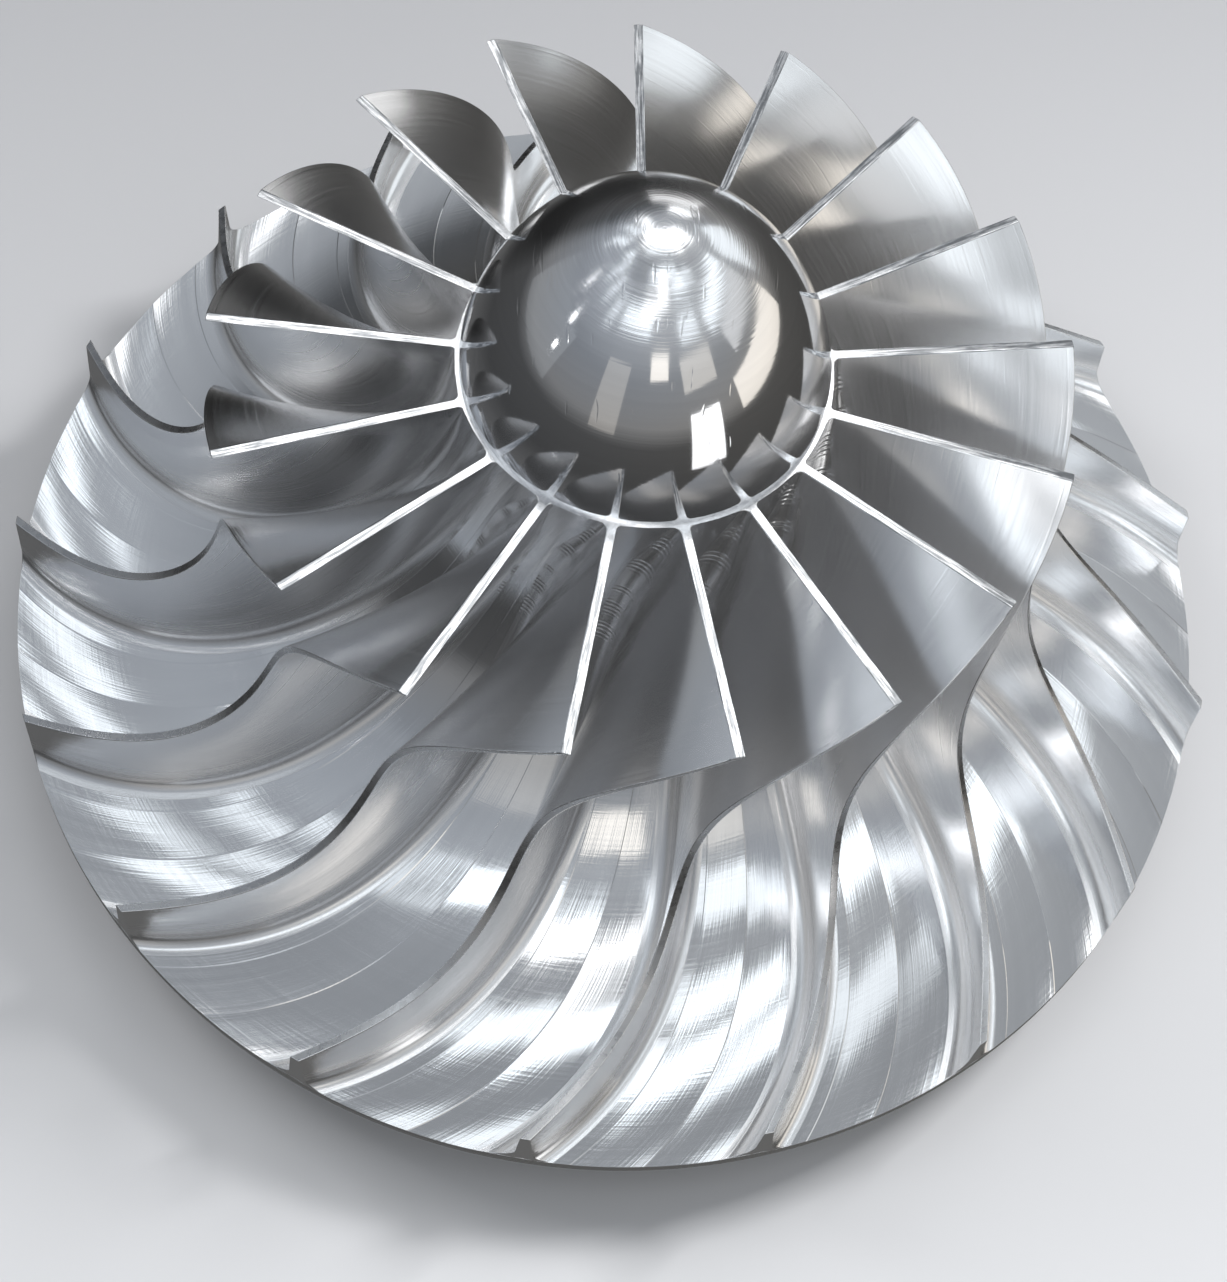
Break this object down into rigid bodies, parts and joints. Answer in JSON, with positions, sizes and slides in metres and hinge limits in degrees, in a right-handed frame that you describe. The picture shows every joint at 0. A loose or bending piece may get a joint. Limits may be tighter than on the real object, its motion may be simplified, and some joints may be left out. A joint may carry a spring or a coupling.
{
  "type": "centrifugal impeller",
  "caption": "Open centrifugal impeller with backswept blades on a flared hub, a thin back disc and a polished nose cone.",
  "frame": {"origin": "middle of the rear boss's face, on the wheel's axis, where the wheel stands", "axes": "+Z along the wheel's axis towards the nose; +Y along the leading edge of blade_01"},
  "size_m": [0.48, 0.48, 0.2843],
  "materials": {
    "milled_floor": "fine milled, bright",
    "milled_blade": "fine milled, satin",
    "turned_metal": "turned",
    "polished_nose": "turned and polished"
  },
  "bodies": {
    "root": {"hub": "milled_floor", "back_disc": "milled_floor", "rear_boss": "turned_metal", "nose_cone": "polished_nose", "blade_01": "milled_blade", "blade_02": "milled_blade", "blade_03": "milled_blade", "blade_04": "milled_blade", "blade_05": "milled_blade", "blade_06": "milled_blade", "blade_07": "milled_blade", "blade_08": "milled_blade", "blade_09": "milled_blade", "blade_10": "milled_blade", "blade_11": "milled_blade", "blade_12": "milled_blade", "blade_13": "milled_blade", "blade_14": "milled_blade", "blade_15": "milled_blade", "blade_16": "milled_blade", "blade_17": "milled_blade"}
  },
  "joints": []
}
